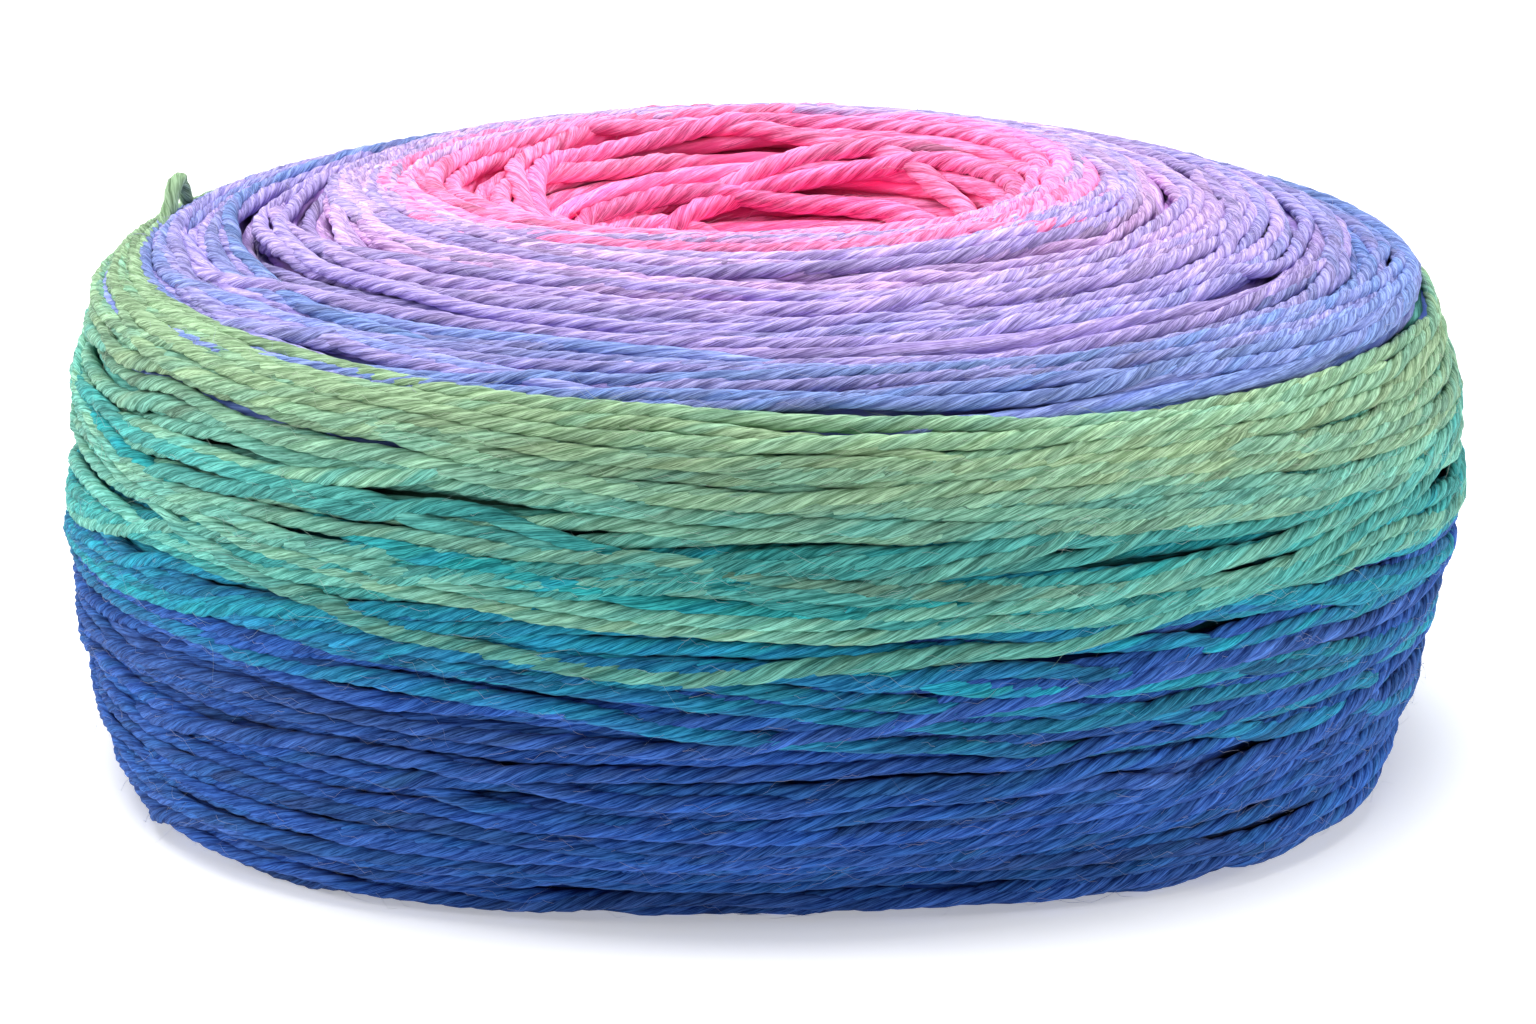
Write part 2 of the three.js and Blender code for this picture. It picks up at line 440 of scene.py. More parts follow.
def slipped(step, along, radius, spread):
    """The turn's place after it has slipped towards the lower side, a little at a time."""
    moved = np.zeros(len(along))
    for _ in range(SLIP_ROUNDS):
        before = resting_height(step, along + moved - SLIP_REACH, radius)
        behind = resting_height(step, along + moved + SLIP_REACH, radius)
        moved = np.clip(moved + SLIP_GAIN * blurred(before - behind, spread), -SLIP_MOST, SLIP_MOST)
    return along + moved


first_rest = resting_height(np.array([0]), np.array([PLACE["belly"]]), UNDER_YARN)[0]
print("the first turn rests at", round(float(first_rest), 2), "mm")

# %% [markdown]
# Winding a run. Its plan gives a tilted, rippled line round the cake. One turn at a time the line
# slips, rests, and is pulled taut: it may lift off a hollow, but it never sinks into a bump. Where it
# would stand out too far, the yarn below gives by half. Each turn blends into the one before it, so
# the yarn has no step where a turn begins.

# %% Wind the runs
RIPPLES = ((1.5, 50), (0.4, 26), (0.2, 12))
TAUT_LENGTH = 2.6
TAUT_ROUNDS = 3
FADE_LENGTH = 14
GIVE_FROM = -0.1
GIVE = 0.5


def planned(run):
    """Where a run goes before it slips: its angle, its place on the outline, and how long a step is."""
    steps = int(run["turns"] * TURN_STEPS)
    share = np.arange(steps) / steps
    start, end = (PLACE[name] + off for name, off in (run["start"], run["end"]))
    if run["piece"] == "foot_turns":
        # The foot starts at the hole's edge, near the loop's end, so its start is told from before 0.
        start -= LOOP_LENGTH
    angle = 2 * math.pi * np.arange(steps) / TURN_STEPS + SEAM_ANGLE
    high = np.radians(run["high_side"] + run["moves_on"] * share)
    first_tilt, last_tilt = run["tilt"]
    along = start + (end - start) * share
    step_length = 2 * math.pi * float(np.mean(on_loop(LOOP[:, 0], along))) / TURN_STEPS
    along = along + (first_tilt + (last_tilt - first_tilt) * share) * np.cos(angle - high)
    for size, length in RIPPLES:
        along += run["ripple"] * size * wobble(steps, length / step_length)
    return angle, along, step_length


def lay(run):
    """Winds one run on the cake and returns its angle, its place on the outline and its height."""
    angle, along, step_length = planned(run)
    steps = len(angle)
    step = np.arange(steps)
    slip, height = np.zeros(steps), np.zeros(steps)
    spread = TAUT_LENGTH / step_length
    fade_steps = int(FADE_LENGTH / step_length)
    for first in range(0, steps, TURN_STEPS):
        last = min(first + TURN_STEPS, steps)
        part = slice(first, min(last + fade_steps, steps))
        fade = 1 - smooth_step(0, fade_steps, step[part] - first) if first else 0.0
        moved = slipped(step[part], along[part], run["radius"], spread) - along[part]
        moved = moved + (slip[first - 1] - moved[0]) * fade
        rest = resting_height(step[part], along[part] + moved, run["radius"])
        line = rest.copy()
        for _ in range(TAUT_ROUNDS):
            line = np.maximum(rest, blurred(line, spread))
        line = np.where(line > GIVE_FROM, GIVE_FROM + GIVE * (line - GIVE_FROM), line)
        line = line + (height[first - 1] - line[0]) * fade
        slip[part], height[part] = moved, line
        done = slice(first, last)
        cells, belly = under(step[done], along[done] + slip[done], run["radius"])
        stand[cells] = np.maximum(stand[cells], height[done][:, None] + belly)
    return angle, along + slip, height


for run in RUNS:
    run["angle"], run["along"], run["height"] = lay(run)
    low, middle, high = np.percentile(run["height"], (5, 50, 95))
    print(f"{run['piece']:17s} {run['turns']:3d} turns, heights {low:5.2f} {middle:5.2f} {high:5.2f} mm")

# %% [markdown]
# One loose place. At the left and back of the rim a short length of the last turn stands off the cake
# in a small loop. It is the same yarn, so nothing is added: a bell curve lifts it.

# %% Loosen the last turn
LOOSE_ANGLE = 2.97
LOOSE_WIDTH = 0.042
LOOSE_LIFT = 3.6
LOOSE_SHIFT = 1.5


def loosen_last_turn(run):
    middle = 2 * math.pi * (run["turns"] - 1) + LOOSE_ANGLE
    share = np.exp(-((run["angle"] - middle) / LOOSE_WIDTH) ** 2)
    run["along"] = run["along"] + LOOSE_SHIFT * share
    run["height"] = run["height"] + LOOSE_LIFT * share


loosen_last_turn(RUNS[-1])
print("the last turn stands", round(float(RUNS[-1]["height"].max()), 1), "mm high in its loose place")

# %% [markdown]
# Now each run gets its rings: the cross-sections of the yarn, a fixed distance apart along its true
# length. A four-ply yarn has four round plies and a valley between each two of them. On the turns that
# show, a ring has twelve points, three to a ply. On those under them it has eight, and the rings there
# are twice as far apart, so that yarn is twisted more slowly to keep its valleys smooth. The rings turn
# as they go, and that turn is the twist. It is an S twist: on a yarn that lies level, the valleys rise
# to the right. No ply is quite like the next, so each is thicker and thinner in its own places. How
# soon each of these things changes along the yarn is a length in a table. Both ends of a run are led
# down between their neighbours, out of sight.

# %% Rings of the yarn
OVER_DETAIL = {"step": 1.5, "profile": (0.85, 1.03, 1.03), "twist_length": 11.5}
UNDER_DETAIL = {"step": 3.0, "profile": (0.9, 1.05), "twist_length": 27}
CHANGES_OVER = {"thickness": 11, "slow thickness": 60, "ply thickness": 14, "flatness": 17, "twist": 18,
                "dye": 90, "ply dye": 90, "tone": 35, "ply tone": 25}
PLIES = 4
FLATTEN = 0.9
FLATTEN_UNEVEN = 0.05
THICK_AND_THIN = 0.06
SLOW_THICK_AND_THIN = 0.042
PLY_UNEVEN = 0.06
TWIST_UNEVEN = 0.7
DYE_UNEVEN = 0.012
PLY_DYE_UNEVEN = 0.011
FLOOR_REST = 0.8
BURY_LENGTH = 14
BURY_DEPTH = 2.2


def follow(run):
    """The run as evenly spaced places along its true length."""
    angle, along, height = run["angle"], run["along"], run["height"]
    points = point_on_cake(angle, along, height)
    length = np.concatenate([[0], np.cumsum(np.linalg.norm(np.diff(points, axis=0), axis=1))])
    at = np.linspace(0, length[-1], int(length[-1] / run["detail"]["step"]) + 1)
    angle, along, height = (np.interp(at, length, line) for line in (angle, along, height))
    sunk = 1 - smooth_step(0, BURY_LENGTH, at) * smooth_step(0, BURY_LENGTH, at[-1] - at)
    return at, angle, along, height - BURY_DEPTH * sunk


def make_rings(run):
    """All that is known of a run's yarn at its rings: points, directions, dye and thickness."""
    at, angle, along, height = follow(run)
    count = len(at)

    def uneven(amount, what):
        return amount * wobble(count, CHANGES_OVER[what] / run["detail"]["step"])

    def uneven_plies(amount, what):
        return np.stack([uneven(amount, what) for _ in range(PLIES)], axis=1)

    radius = run["radius"] * (1 + uneven(THICK_AND_THIN, "thickness")
                              + uneven(SLOW_THICK_AND_THIN, "slow thickness"))
    middle = point_on_cake(angle, along, height, lowest=FLOOR_REST * run["radius"])
    ahead = np.gradient(middle, axis=0)
    ahead /= np.linalg.norm(ahead, axis=1)[:, None]
    across = np.cross(ahead, outward(angle, along))
    across /= np.linalg.norm(across, axis=1)[:, None]
    first, last = (DYE_AT[name] for name in run["dye"])
    dye = first + (last - first) * np.linspace(0, 1, count) + uneven(DYE_UNEVEN, "dye")
    ply_size = 1 + uneven_plies(PLY_UNEVEN, "ply thickness")
    ply_dye = dye[:, None] + uneven_plies(PLY_DYE_UNEVEN, "ply dye")
    ply_tone = uneven_plies(1, "ply tone")
    tone = uneven(1, "tone")
    flat = FLATTEN * (1 + uneven(FLATTEN_UNEVEN, "flatness"))
    twist = 2 * math.pi * at / run["detail"]["twist_length"] + uneven(TWIST_UNEVEN, "twist")
    return dict(at=at, angle=angle, along=along, height=height, radius=radius, middle=middle,
                ahead=ahead, across=across, out=np.cross(across, ahead), dye=np.clip(dye, 0, 1),
                tone=tone, flat=flat, twist=twist, ply_size=ply_size, ply_tone=ply_tone,
                ply_dye=np.clip(ply_dye, 0, 1))


for run in RUNS:
    run["detail"] = UNDER_DETAIL if run["piece"] in UNDER_PIECES else OVER_DETAIL
    run["rings"] = make_rings(run)
total = sum(run["rings"]["at"][-1] for run in RUNS)
print(f"{total / 1000:.1f} m of yarn, {sum(len(run['rings']['at']) for run in RUNS)} rings")

# %% [markdown]
# The rings become points. Each point also carries what the finish needs to know: its dye colour, how
# high it is on its ply, how deep it lies under the cake's outermost yarn, and its place on the yarn,
# stretched along the length, so that a noise read there comes out as long fibres. The height on the ply
# and the depth tell the finish where to paint shade into the valleys and gaps. Ambient occlusion could
# guess the gaps, but the map of heights knows their depth exactly.

# %% Points of a rope
LENGTH_STRETCH = 0.07
TONE_UNEVEN = 0.11
DEEPEST = 3


def ring_points(rings, profile):
    """The points of a run's yarn, one row of points for each ring, and what each of them carries."""
    low, high = min(profile), max(profile)
    ply = np.repeat(np.arange(PLIES), len(profile))
    profile = np.tile(profile, PLIES)
    around = 2 * math.pi * np.arange(len(profile)) / len(profile)
    turned = around[None, :] - rings["twist"][:, None]
    reach = rings["radius"][:, None] * profile[None, :] * rings["ply_size"][:, ply]
    up, side = rings["flat"][:, None] * reach * np.cos(turned), reach * np.sin(turned)
    points = (rings["middle"][:, None, :] + up[..., None] * rings["out"][:, None, :]
              + side[..., None] * rings["across"][:, None, :])
    points[..., 2] = np.maximum(points[..., 2], FOOT_GAP)
    top = top_of_cake(rings["angle"][:, None] + 0 * side, rings["along"][:, None] - side)
    # This depth sets how much painted shade the finish lays into the gaps.
    depth = np.clip(top - (rings["height"][:, None] + up), 0, DEEPEST)
    fibre = np.stack([np.cos(around) + 0 * turned, np.sin(around) + 0 * turned,
                      LENGTH_STRETCH * (rings["at"][:, None] + 0 * turned)], axis=-1)
    lobe = np.broadcast_to((profile - low) / (high - low), turned.shape)
    tone = 1 + TONE_UNEVEN * (rings["tone"][:, None] + rings["ply_tone"][:, ply])
    colour = dyed(rings["ply_dye"][:, ply]) * tone[..., None]
    return dict(points=points, depth=depth, fibre=fibre, lobe=lobe, colour=colour)


def top_of_cake(angle, along):
    """How far the outermost yarn stands out at an angle and a place on the outline."""
    step = np.round((angle - SEAM_ANGLE) / (2 * math.pi) * TURN_STEPS).astype(int) % TURN_STEPS
    return stand[step, np.round(along / CELL).astype(int) % CELLS]


sample = ring_points(RUNS[0]["rings"], RUNS[0]["detail"]["profile"])
print("each point carries:", ", ".join(key for key in sample if key != "points"))

# %% [markdown]
# The faces of a rope join each ring to the next, and a fan of triangles closes each end. A map for the
# bake lays the yarn out in rows, as a tailor lays strips on a table, so no two faces share a spot. A
# ring of the yarn takes one slot along its row. Blender's own unwrapping would take minutes for so many
# faces, and it would leave more of the map empty.

# %% Faces and bake map of a rope
ROW_GAP = 0.12
CAP_SLOTS = (0.2, 0.8)


def rope_faces(ring_count, width, first_point, first_slot):
    """The faces of one closed rope and, for each corner, its slot along the bake map and its side."""
    i, k = np.meshgrid(np.arange(ring_count - 1), np.arange(width), indexing="ij")
    beside = (k + 1) % width
    corners = [(i, k), (i, beside), (i + 1, beside), (i + 1, k)]
    quads = np.stack([first_point + a * width + b for a, b in corners], axis=-1).reshape(-1, 4)
    along = np.stack([i, i, i + 1, i + 1], axis=-1).reshape(-1, 4) + first_slot + 1
    side = np.stack([k, k + 1, k + 1, k], axis=-1).reshape(-1, 4)
    ends = []
    last_ring = first_point + (ring_count - 1) * width
    around = np.arange(width)
    after = (around + 1) % width
    start_tip = first_point + ring_count * width
    start_end = (start_tip, first_point, first_slot, True)
    far_end = (start_tip + 1, last_ring, first_slot + ring_count, False)
    for tip, ring, slot, at_start in (start_end, far_end):
        a, b = (ring + after, ring + around) if at_start else (ring + around, ring + after)
        sides = (around + 1, around) if at_start else (around, around + 1)
        faces = np.stack([np.full(width, tip), a, b], axis=-1)
        tip_slot, rim_slot = (np.full(width, slot + share) for share in CAP_SLOTS)
        place = np.stack([tip_slot, rim_slot, rim_slot], axis=-1)
        ends.append((faces, place, np.stack([around + 0.5, sides[0], sides[1]], axis=-1)))
    return (quads, along, side), ends


def bake_map(along, side, slots, width, aspect):
    """Lays one long strip out in rows on a square, without overlaps."""
    per_row = int(math.ceil(math.sqrt(slots * aspect)))
    rows = int(math.ceil(slots / per_row))
    row = (along.min(axis=1, keepdims=True) // per_row)
    u = (along - row * per_row + 0.5) / (per_row + 1)
    v = (row + ROW_GAP + (1 - 2 * ROW_GAP) * side / width) / rows
    return np.stack([u, v], axis=-1).reshape(-1, 2)


print("a rope of three rings has", len(rope_faces(3, 12, 0, 0)[0][0]), "faces round its sides")

# %% [markdown]
# Python lists are slow for a million faces, so the arrays go to Blender in bulk. What the points carry
# becomes attributes of the mesh, which the finish reads by name.

# %% Meshes from arrays
def mesh_from(name, points, polygons, corner_uv, carried):
    """A smooth mesh from arrays: points, lists of faces of one size each, a map and point values."""
    mesh = bpy.data.meshes.new(name)
    loops = np.concatenate([faces.ravel() for faces in polygons])
    sizes = np.concatenate([np.full(len(faces), faces.shape[1]) for faces in polygons])
    mesh.vertices.add(len(points))
    mesh.vertices.foreach_set("co", (points * MM).astype(np.float32).ravel())
    mesh.loops.add(len(loops))
    mesh.loops.foreach_set("vertex_index", loops.astype(np.int32))
    mesh.polygons.add(len(sizes))
    mesh.polygons.foreach_set("loop_start", (np.cumsum(sizes) - sizes).astype(np.int32))
    mesh.update(calc_edges=True)
    mesh.validate()
    mesh.polygons.foreach_set("use_smooth", np.ones(len(mesh.polygons), bool))
    if corner_uv is not None:
        uv = mesh.uv_layers.new(name="OFBake")
        uv.data.foreach_set("uv", corner_uv.astype(np.float32).ravel())
    for key, values in carried.items():
        if values.ndim == 1:
            kind, field = "FLOAT", "value"
        elif key == "dye":
            kind, field = "FLOAT_COLOR", "color"
            values = np.concatenate([values, np.ones((len(values), 1))], axis=1)
        else:
            kind, field = "FLOAT_VECTOR", "vector"
        mesh.attributes.new(key, kind, "POINT").data.foreach_set(field, values.astype(np.float32).ravel())
    return mesh


finest = np.spacing(np.float32(CAD_BOX[1][0])) / MM
print(f"a mesh can tell places apart that are {finest:.6f} mm from each other")

# %% [markdown]
# The runs that share a name are joined into one piece, so that the cake has a dozen meshes to handle
# and not one for each run.

# %% Yarn pieces
def make_yarn_piece(name, runs):
    """One mesh that holds all the ropes of the runs that share a piece."""
    groups = {"quads": [], "along": [], "side": [], "caps": [], "cap_along": [], "cap_side": []}
    carried = {"points": [], "depth": [], "fibre": [], "lobe": [], "colour": []}
    first_point, slot = 0, 0
    detail = runs[0]["detail"]
    width = PLIES * len(detail["profile"])
    for run in runs:
        rings = run["rings"]
        rope = ring_points(rings, detail["profile"])
        count = len(rings["at"])
        for key, values in rope.items():
            flat = values.reshape((count * width,) + values.shape[2:])
            tips = np.stack([values[0].mean(axis=0), values[-1].mean(axis=0)])
            carried[key].append(np.concatenate([flat, tips]))
        body, ends = rope_faces(count, width, first_point, slot)
        for key, values in zip(("quads", "along", "side"), body):
            groups[key].append(values)
        for end in ends:
            for key, values in zip(("caps", "cap_along", "cap_side"), end):
                groups[key].append(values)
        first_point += count * width + 2
        slot += count + 1
    joined = {key: np.concatenate(values) for key, values in groups.items()}
    held = {key: np.concatenate(values) for key, values in carried.items()}
    aspect = 2 * math.pi * YARN / (1 - 2 * ROW_GAP) / detail["step"]
    uv = np.concatenate([bake_map(joined["along"], joined["side"], slot, width, aspect),
                         bake_map(joined["cap_along"], joined["cap_side"], slot, width, aspect)])
    at_points = {"dye": held["colour"], "fibre": held["fibre"], "lobe": held["lobe"],
                 "depth": held["depth"]}
    mesh = mesh_from(name, held["points"], [joined["quads"], joined["caps"]], uv, at_points)
    piece = bpy.data.objects.new(name, mesh)
    bpy.context.collection.objects.link(piece)
    return piece


PIECE_NAMES = list(dict.fromkeys(run["piece"] for run in RUNS))
yarn_pieces = []
for name in PIECE_NAMES:
    yarn_pieces.append(make_yarn_piece(name, [run for run in RUNS if run["piece"] == name]))
    count = sum(len(p.vertices) - 2 for p in yarn_pieces[-1].data.polygons)
    print(f"{name:17s} {count:7d} triangles")

# %% [markdown]
# Under the turns lies the rest of the ball. It shows only as a dark colour deep between two turns, so
# it is one closed skin on the same outline, just under the middles of the first layer's turns, in the
# dye of the turns over it, with the finish's full painted shade all over.

# %% Inner winding
INNER_COLUMNS = 72
INNER_ROWS = 60
INNER_DEPTH = FIRST_DEPTH - 0.3
# A depth past the gap range gives the whole skin the finish's full painted shade.
INNER_SHADE = 2.5
INNER_ARC = 60


def make_inner_winding():
    along = LOOP_LENGTH * np.arange(INNER_ROWS) / INNER_ROWS
    angle = 2 * math.pi * np.arange(INNER_COLUMNS) / INNER_COLUMNS
    angles, alongs = np.meshgrid(angle, along, indexing="ij")
    points = point_on_cake(angles, alongs, -INNER_DEPTH).reshape(-1, 3)
    i, k = np.meshgrid(np.arange(INNER_COLUMNS), np.arange(INNER_ROWS), indexing="ij")
    i2, k2 = (i + 1) % INNER_COLUMNS, (k + 1) % INNER_ROWS
    corners = [(i, k), (i2, k), (i2, k2), (i, k2)]
    quads = np.stack([a * INNER_ROWS + b for a, b in corners], axis=-1).reshape(-1, 4)
    order = np.argsort([np.mean(run["along"]) % LOOP_LENGTH for run in RUNS])
    places = [np.mean(RUNS[n]["along"]) % LOOP_LENGTH for n in order]
    shades = [np.mean(RUNS[n]["rings"]["dye"]) for n in order]
    colour = dyed(np.interp(alongs.ravel(), places, shades))
    count = len(points)
    around = LENGTH_STRETCH * INNER_ARC * angles.ravel()
    fibre = np.stack([alongs.ravel(), 0 * alongs.ravel(), around], axis=-1)
    at_points = {"dye": colour, "fibre": fibre, "lobe": np.ones(count),
                 "depth": np.full(count, INNER_SHADE)}
    mesh = mesh_from("inner_winding", points, [quads], None, at_points)
    piece = bpy.data.objects.new("inner_winding", mesh)
    bpy.context.collection.objects.link(piece)
    return piece


inner_winding = make_inner_winding()
print("inner winding:", len(inner_winding.data.polygons), "faces")

# %% [markdown]
# Fibres stand off every soft yarn and make its halo. Particle hair could draw them, but it isn't a
# mesh, so each fibre here is a thin closed spike with three sides that starts on a yarn at the
# surface, leans along it, and curls. They are thicker than a real fibre, and fewer. First come the
# spots where a fibre may start: anywhere on the upper half of a yarn that nothing covers.

# %% Where fibres start
FIBRE_DEEPEST = 0.35
FIBRE_LEAN = 1.1
ROOT_DEPTH = 0.9


def fibre_roots():
    """Points on the outermost yarns, with the directions of the yarn there and its colour."""
    spots = {"point": [], "ahead": [], "out": [], "across": [], "colour": []}
    for run in RUNS:
        rings = run["rings"]
        if run["piece"] == "foot_turns":
            continue
        top = top_of_cake(rings["angle"], rings["along"])
        bare = top - rings["height"] - PRESS * rings["radius"] < FIBRE_DEEPEST
        lean = random.uniform(-FIBRE_LEAN, FIBRE_LEAN, len(bare))
        out = rings["out"] * np.cos(lean)[:, None] + rings["across"] * np.sin(lean)[:, None]
        spots["point"].append((rings["middle"] + ROOT_DEPTH * rings["radius"][:, None] * out)[bare])
        spots["out"].append(out[bare])
        spots["ahead"].append(rings["ahead"][bare])
        spots["across"].append(np.cross(rings["ahead"], out)[bare])
        spots["colour"].append(dyed(rings["dye"])[bare])
    return {key: np.concatenate(values) for key, values in spots.items()}


ROOTS = fibre_roots()
print("fibres may start at", len(ROOTS["point"]), "rings")

# %% [markdown]
# Each fibre is a line of five small rings. How far it rises, swerves, curls and waves is a share of its
# length, and short, low fibres are more common than long ones that stand off.

# %% Loose fibres
FIBRE_COUNT = 4900
FIBRE_RADIUS = 0.02
FIBRE_LENGTHS = (1.2, 5.0)
FIBRE_RINGS = 5
FIBRE_SIDES = 3
SHORTER_POWER = 2.2
RISE = (0.1, 0.6)
LOWER_POWER = 1.5
SWERVE = 0.32
CURL = 0.35
WAVE = 0.13
WAVE_TURN = 8
TAPER = 0.75


def make_fibres():
    pick = random.integers(0, len(ROOTS["point"]), FIBRE_COUNT)
    keys = ("point", "ahead", "out", "across", "colour")
    root, ahead, out, across, colour = (ROOTS[key][pick] for key in keys)
    shortest, longest = FIBRE_LENGTHS
    length = shortest + (longest - shortest) * random.random(FIBRE_COUNT) ** SHORTER_POWER
    way = np.where(random.random(FIBRE_COUNT) < 0.5, -1.0, 1.0)
    rise = RISE[0] + RISE[1] * random.random(FIBRE_COUNT) ** LOWER_POWER
    swerve = random.normal(0, SWERVE, FIBRE_COUNT)
    curl = random.normal(0, CURL, (FIBRE_COUNT, 2))
    phase = random.uniform(0, 2 * math.pi, FIBRE_COUNT)
    share = np.linspace(0, 1, FIBRE_RINGS)[None, :, None]
    reach = length[:, None, None] * share
    line = (root[:, None, :] + reach * (way[:, None] * ahead)[:, None, :]
            + reach * (1 - share / 2) * (rise[:, None] * out)[:, None, :]
            + reach * (swerve[:, None] * across)[:, None, :]
            + reach * share * (curl[:, :1] * across + curl[:, 1:] / 2 * out)[:, None, :])
    wave = WAVE * length[:, None, None] * np.sqrt(share) * np.sin(WAVE_TURN * share + phase[:, None, None])
    line = line + wave * across[:, None, :] + wave / 2 * out[:, None, :]
    line[..., 2] = np.maximum(line[..., 2], 2 * FIBRE_RADIUS)
    turn = 2 * math.pi * np.arange(FIBRE_SIDES) / FIBRE_SIDES
    thick = FIBRE_RADIUS * (1 - TAPER * share[..., None] ** 2)
    section = (np.cos(turn)[:, None] * out[:, None, None, :]
               + np.sin(turn)[:, None] * across[:, None, None, :])
    points = line[:, :, None, :] + thick * section
    return points.reshape(-1, 3), colour


def fibre_faces():
    """The faces of all the fibres: their sides and their two small ends."""
    per = FIBRE_RINGS * FIBRE_SIDES
    base = per * np.arange(FIBRE_COUNT)[:, None, None]
    i, k = np.meshgrid(np.arange(FIBRE_RINGS - 1), np.arange(FIBRE_SIDES), indexing="ij")
    beside = (k + 1) % FIBRE_SIDES
    corners = [(i, k), (i + 1, k), (i + 1, beside), (i, beside)]
    quads = np.stack([a * FIBRE_SIDES + b for a, b in corners], axis=-1).reshape(1, -1, 4) + base
    ends = np.array([[0, 1, 2], [per - 1, per - 2, per - 3]])[None] + base
    return quads.reshape(-1, 4), ends.reshape(-1, 3)


def make_halo():
    points, colour = make_fibres()
    quads, ends = fibre_faces()
    per = FIBRE_RINGS * FIBRE_SIDES
    mesh = mesh_from("loose_fibres", points, [quads, ends], None, {"dye": np.repeat(colour, per, axis=0)})
    piece = bpy.data.objects.new("loose_fibres", mesh)
    bpy.context.collection.objects.link(piece)
    return piece


loose_fibres = make_halo()
count = sum(len(p.vertices) - 2 for p in loose_fibres.data.polygons)
print("fibres:", FIBRE_COUNT, "with", count, "triangles")

# %% [markdown]
# The finish is written as sums on sockets. This small class wraps a socket, so that `1 - mask` or
# `noise * 0.3 + 0.7` adds the Math nodes by itself. Colours don't go through Math nodes, which would
# turn them grey: they are scaled with Vector Math and blended with Mix.

# %% Sums on sockets
class Flow:
    """A socket of a material, on which values are worked out as Python sums."""

    def __init__(self, tree, socket=None):
        self.tree = tree
        self.socket = socket

    def node(self, kind, settings=None, inputs=None, out=0):
        """Adds a node: first its settings, then the values or links of its sockets."""
        made = self.tree.nodes.new(kind)
        for name, value in (settings or {}).items():
            setattr(made, name, value)
        for name, value in (inputs or {}).items():
            if isinstance(value, Flow):
                self.tree.links.new(value.socket, made.inputs[name])
            else:
                made.inputs[name].default_value = value
        return Flow(self.tree, made.outputs[out])

    def math(self, operation, *values):
        return self.node("ShaderNodeMath", {"operation": operation}, dict(enumerate(values)))

    def __add__(self, other):
        return self.math("ADD", self, other)

    def __mul__(self, other):
        return self.math("MULTIPLY", self, other)

    def __sub__(self, other):
        return self.math("SUBTRACT", self, other)

    def __rsub__(self, other):
        return self.math("SUBTRACT", other, self)

    def __pow__(self, other):
        return self.math("POWER", self, other)

    __radd__ = __add__
    __rmul__ = __mul__

    def within(self, low, high):
        """The value brought to 0 at low and 1 at high, and held between them."""
        return self.node("ShaderNodeMapRange", {"clamp": True}, {0: self, 1: low, 2: high})

    def scaled(self, amount):
        """A colour or vector made larger or smaller."""
        return self.node("ShaderNodeVectorMath", {"operation": "SCALE"}, {0: self, "Scale": amount})

    def blended(self, other, share):
        """This colour, mixed with another by a share."""
        return self.node("ShaderNodeMix", {"data_type": "RGBA"}, {0: share, 6: self, 7: other}, out=2)

    def times(self, other):
        """This colour, multiplied by another."""
        return self.node("ShaderNodeVectorMath", {"operation": "MULTIPLY"}, {0: self, 1: other})

    def noise(self, scale, detail=2.0, roughness=0.5):
        """A noise read at this vector."""
        return self.node("ShaderNodeTexNoise", None,
                         {"Vector": self, "Scale": scale, "Detail": detail, "Roughness": roughness})

    def carried(self, name, out):
        """A value that the mesh carries at its points."""
        return self.node("ShaderNodeAttribute", {"attribute_name": name}, out=out)


print("a flow can:", ", ".join(name for name in vars(Flow) if not name.startswith("_")))

# %% [markdown]
# Yarn is soft and dull, with a faint sheen where it turns away, because light catches the tips of its
# fibres. Each ply is streaked along its length, since no fibre takes the dye quite like the next. The
# valleys between the plies and the gaps between the turns get painted shade: they are painted darker
# and stronger in colour, as light that has bounced between dyed fibres has lost more of the other
# colours each time. Multiplying the dye by itself gives that deeper tone. A bump rounds the plies and
# raises the streaks.

# %% Yarn finish
STREAKS = {"scale": 3.8, "detail": 3.0, "roughness": 0.6}
FINE_STREAKS = {"scale": 10.0, "detail": 2.0, "roughness": 0.6}
LIGHT_FIBRES = (0.41, 0.59)
# The ranges, power and shares below set the painted shade in the ply valleys and the turn gaps.
VALLEY_SHADE_RANGE = (0.0, 0.75)
VALLEY_SHADE_POWER = 1.4
GAP_SHADE_DEPTHS = (0.15, 1.1)
VALLEY_SHADE_SHARE = 0.7
GAP_SHADE_SHARE = 0.75
DEEP_DYE_AND_SHADE = 0.9
PLAIN_IN_DEEP = 0.22
DARK_DYE = 0.5
DEEP_IN_DARK = 0.5
PALE_DYE = 1.5
PALE_TINT = (0.75, 0.95, 0.9, 1)
TINT_IN_PALE = 0.04
RELIEF = {"ply": 0.6, "streak": 0.6, "fine": 0.5}
PLY_POWER = 0.6
BUMP_STRENGTH = 0.85
BUMP_HEIGHT = 0.17 * MM
YARN_SURFACE = {"Roughness": 0.78, "Specular IOR Level": 0.06, "Sheen Weight": 0.05,
                "Sheen Roughness": 0.45, "Sheen Tint": WHITE}
ATTRIBUTE_COLOUR = 0
ATTRIBUTE_VECTOR = 1
ATTRIBUTE_VALUE = 2


def new_material(name):
    material = bpy.data.materials.new(name)
    material.use_nodes = True
    return material, Flow(material.node_tree), material.node_tree.nodes["Principled BSDF"]


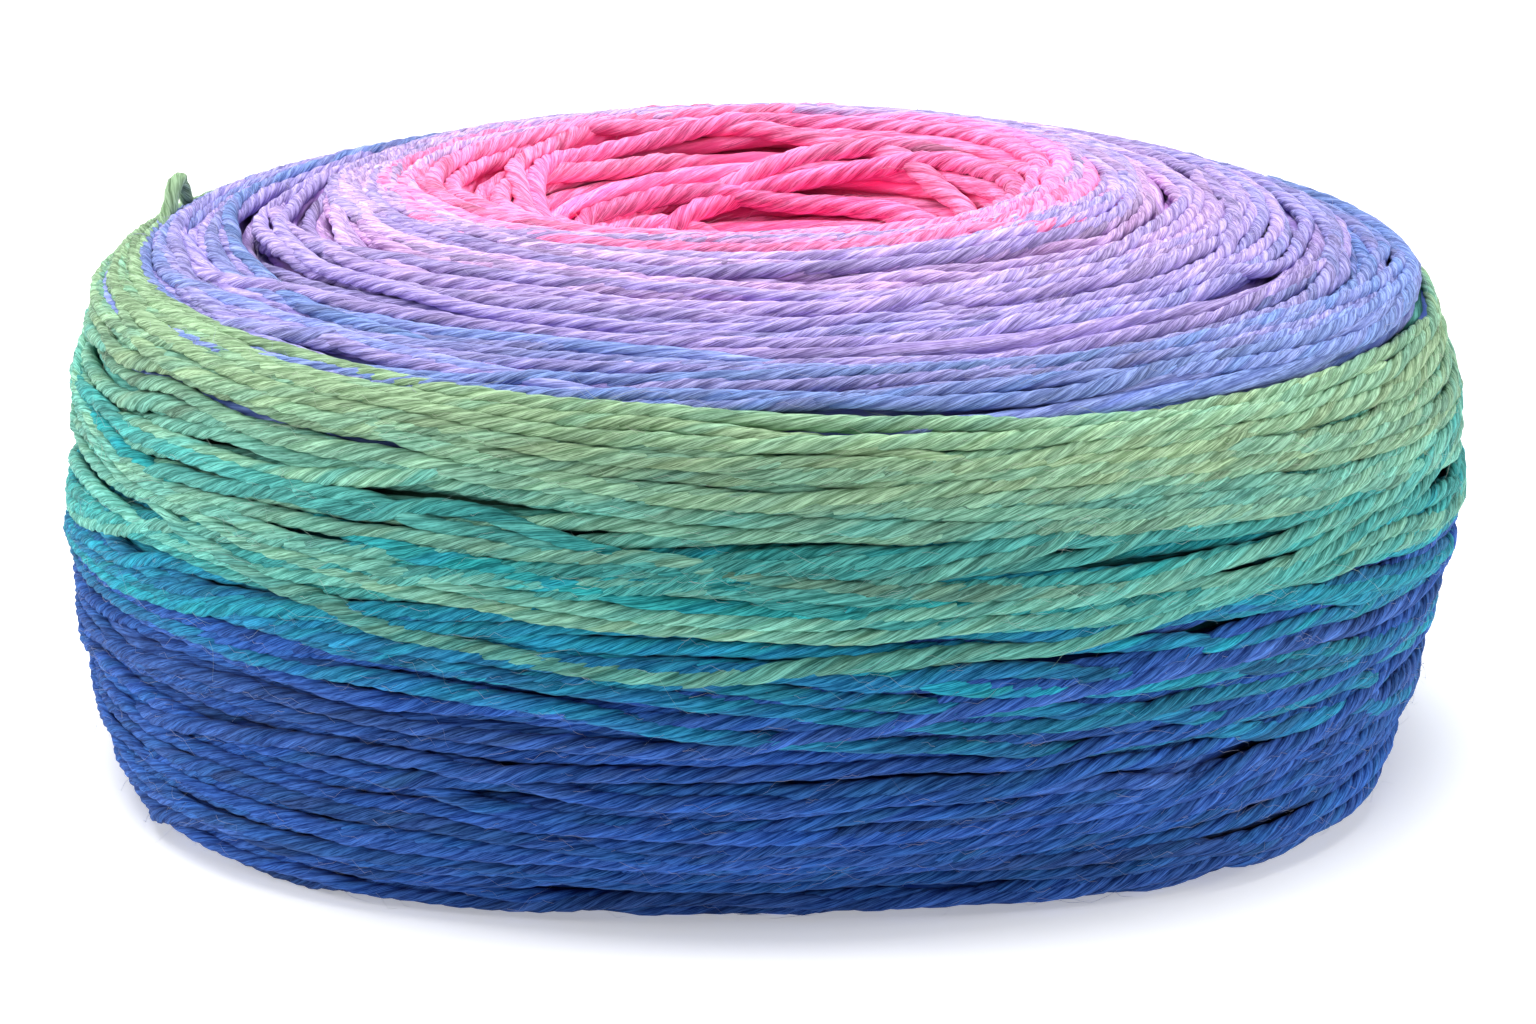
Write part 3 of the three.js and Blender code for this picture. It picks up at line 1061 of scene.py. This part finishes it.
def make_yarn_finish():
    material, flow, surface = new_material("plied_yarn")
    dye = flow.carried("dye", ATTRIBUTE_COLOUR)
    fibre = flow.carried("fibre", ATTRIBUTE_VECTOR)
    lobe = flow.carried("lobe", ATTRIBUTE_VALUE)
    depth = flow.carried("depth", ATTRIBUTE_VALUE)
    streak = fibre.noise(**STREAKS)
    fine = fibre.noise(**FINE_STREAKS)
    light_fibre = (streak * 0.5 + fine * 0.5).within(*LIGHT_FIBRES)
    # Painted shade: masks for the valleys between plies and the gaps between turns.
    valley = (1 - lobe.within(*VALLEY_SHADE_RANGE)) ** VALLEY_SHADE_POWER
    gap_shade = depth.within(*GAP_SHADE_DEPTHS)
    # The deep tone is the colour of the painted shade, and half of each dark streak.
    deep = dye.times(dye.scaled(DEEP_DYE_AND_SHADE)).blended(dye, PLAIN_IN_DEEP)
    pale = dye.scaled(PALE_DYE).blended(PALE_TINT, TINT_IN_PALE)
    dark = dye.scaled(DARK_DYE).blended(deep, DEEP_IN_DARK)
    colour = dark.blended(pale, light_fibre)
    # Painted shade laid into the valleys and the gaps.
    colour = colour.blended(deep, (valley * VALLEY_SHADE_SHARE + gap_shade * GAP_SHADE_SHARE).within(0.0, 1.0))
    relief = lobe ** PLY_POWER * RELIEF["ply"] + streak * RELIEF["streak"] + fine * RELIEF["fine"]
    bump = {"Strength": BUMP_STRENGTH, "Distance": BUMP_HEIGHT, "Height": relief}
    normal = flow.node("ShaderNodeBump", None, bump)
    material.node_tree.links.new(colour.socket, surface.inputs["Base Color"])
    material.node_tree.links.new(normal.socket, surface.inputs["Normal"])
    set_sockets(surface, YARN_SURFACE)
    return material


yarn_finish = make_yarn_finish()
print("finish:", yarn_finish.name, "with", len(yarn_finish.node_tree.nodes), "nodes")

# %% [markdown]
# A loose fibre is so thin that light passes into it, and it looks paler and greyer than the yarn it
# comes from. It could be made half clear, but that is slow to render and changes little at this size.
# So its dye is mixed with a pale grey instead, a little more in some places than in others.

# %% Fibre finish
HALO_SURFACE = {"Roughness": 0.7, "Specular IOR Level": 0.2}
HALO_GREY = (0.60, 0.56, 0.55, 1)
HALO_SHARES = (0.25, 0.3)
HALO_NOISE = 300.0
HALO_RANGE = (0.3, 0.7)
OBJECT_PLACE = 3


def make_fibre_finish():
    material, flow, surface = new_material("fibre_halo")
    dye = flow.carried("dye", ATTRIBUTE_COLOUR)
    place = flow.node("ShaderNodeTexCoord", out=OBJECT_PLACE)
    least, more = HALO_SHARES
    share = place.noise(HALO_NOISE).within(*HALO_RANGE) * more + least
    colour = dye.blended(HALO_GREY, share)
    material.node_tree.links.new(colour.socket, surface.inputs["Base Color"])
    set_sockets(surface, HALO_SURFACE)
    return material


fibre_finish = make_fibre_finish()
print("finish:", fibre_finish.name, "with", len(fibre_finish.node_tree.nodes), "nodes")

# %% [markdown]
# Every piece rides on the one body and stands in for the packed solid.

# %% Hand the pieces over
for piece in yarn_pieces + [inner_winding, loose_fibres]:
    piece.data.materials.append(yarn_finish)
    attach(piece, "root")
    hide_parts("wound_yarn")
loose_fibres.data.materials[0] = fibre_finish
